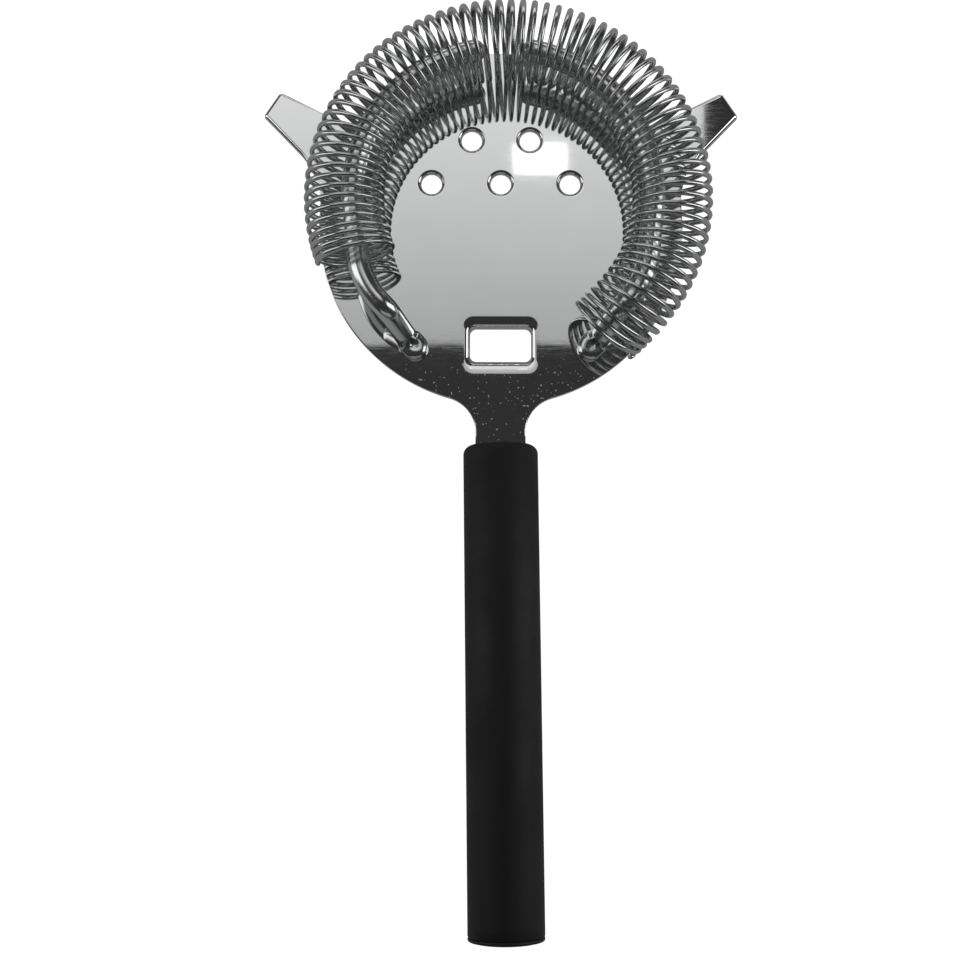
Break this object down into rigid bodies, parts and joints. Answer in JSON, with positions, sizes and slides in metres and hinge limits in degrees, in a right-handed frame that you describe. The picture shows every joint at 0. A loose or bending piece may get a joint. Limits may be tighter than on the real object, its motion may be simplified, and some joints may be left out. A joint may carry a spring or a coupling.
{
  "type": "hawthorne strainer",
  "caption": "Hawthorne strainer: round eared plate with drain holes and a finger slot, bent rods carrying a coil spring, and a round handle with a grip sleeve.",
  "frame": {"origin": "middle of the disc, on the plate's flat outer face", "axes": "+Z out of the plate on the coil side, +Y to the front of the head, handle along -Y"},
  "size_m": [0.1086, 0.2055, 0.0298],
  "materials": {
    "plate_steel": "mirror polished stainless steel",
    "rod_steel": "polished stainless steel bar",
    "spring_wire": "drawn stainless steel wire",
    "core_steel": "satin stainless steel",
    "grip_black": "smooth matte black",
    "cap_black": "smooth matte black"
  },
  "bodies": {
    "frame": {"strainer_plate": "plate_steel", "rod_left": "rod_steel", "rod_right": "rod_steel", "core_tube": "core_steel", "tang_plug": "core_steel", "tang_pin": "core_steel", "grip_sleeve": "grip_black", "end_cap": "cap_black"},
    "coil": {"coil_spring": "spring_wire"}
  },
  "joints": [
    {"name": "coil_slide", "type": "hinge", "parent": "frame", "child": "coil", "pos_m": [0.00155, 0.003, 0.0133], "axis": [0, 0, 1], "range_deg": [-0.5, 22]}
  ]
}
